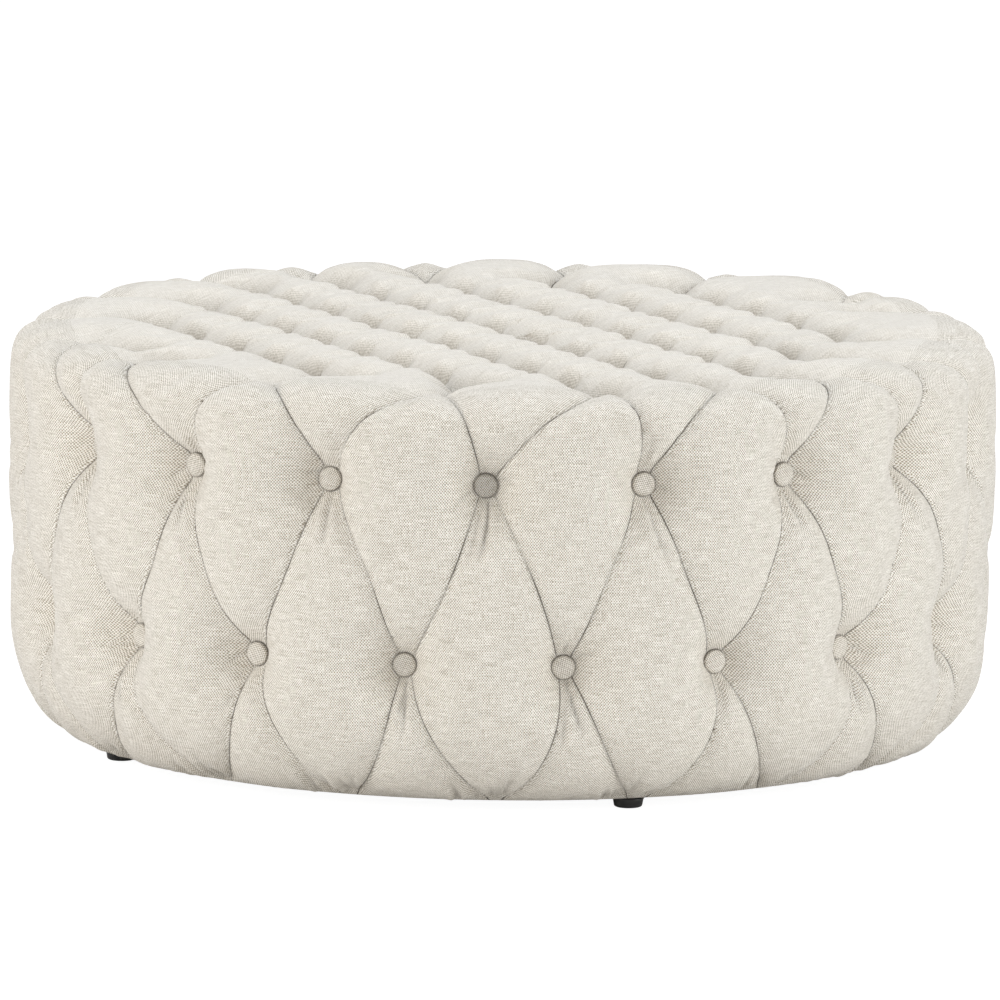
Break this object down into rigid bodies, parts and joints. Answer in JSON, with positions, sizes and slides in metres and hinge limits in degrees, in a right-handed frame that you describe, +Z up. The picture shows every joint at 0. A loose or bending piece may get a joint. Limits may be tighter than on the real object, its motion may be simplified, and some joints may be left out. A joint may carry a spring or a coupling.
{
  "type": "ottoman",
  "caption": "Large low round ottoman, deep buttoned all over in pale linen, with pleated diamonds round its side and straight buttoned rows on top, on low black glides.",
  "frame": {"origin": "on the floor under the middle of the round body, at the level of the glides' undersides", "axes": "+Z up; the side that the picture shows is -Y, and +X is to the right of it"},
  "size_m": [1.0154, 1.0154, 0.4339],
  "materials": {
    "linen": "flecked linen weave",
    "button_linen": "flecked linen weave",
    "foam": "open cell foam",
    "plywood": "sanded, unfinished",
    "softwood": "planed, unfinished",
    "black_cloth": "non-woven sheet",
    "black_plastic": "satin",
    "screw_steel": "zinc plated",
    "staple_steel": "galvanised"
  },
  "bodies": {
    "root": {"base_rail_1": "softwood", "base_rail_2": "softwood", "base_ring": "plywood", "centre_post": "softwood", "deck_panel": "plywood", "deck_screws": "screw_steel", "dust_cover": "black_cloth", "dust_cover_staples": "staple_steel", "foot_1": "black_plastic", "foot_2": "black_plastic", "foot_3": "black_plastic", "foot_4": "black_plastic", "foot_screws": "screw_steel", "lower_row_buttons": "button_linen", "post_1": "softwood", "post_2": "softwood", "post_3": "softwood", "post_4": "softwood", "post_5": "softwood", "post_6": "softwood", "post_7": "softwood", "post_8": "softwood", "rim_buttons": "button_linen", "side_foam": "foam", "side_hoop": "plywood", "top_buttons": "button_linen", "top_foam": "foam", "tufted_cover": "linen", "upper_row_buttons": "button_linen"}
  },
  "joints": []
}
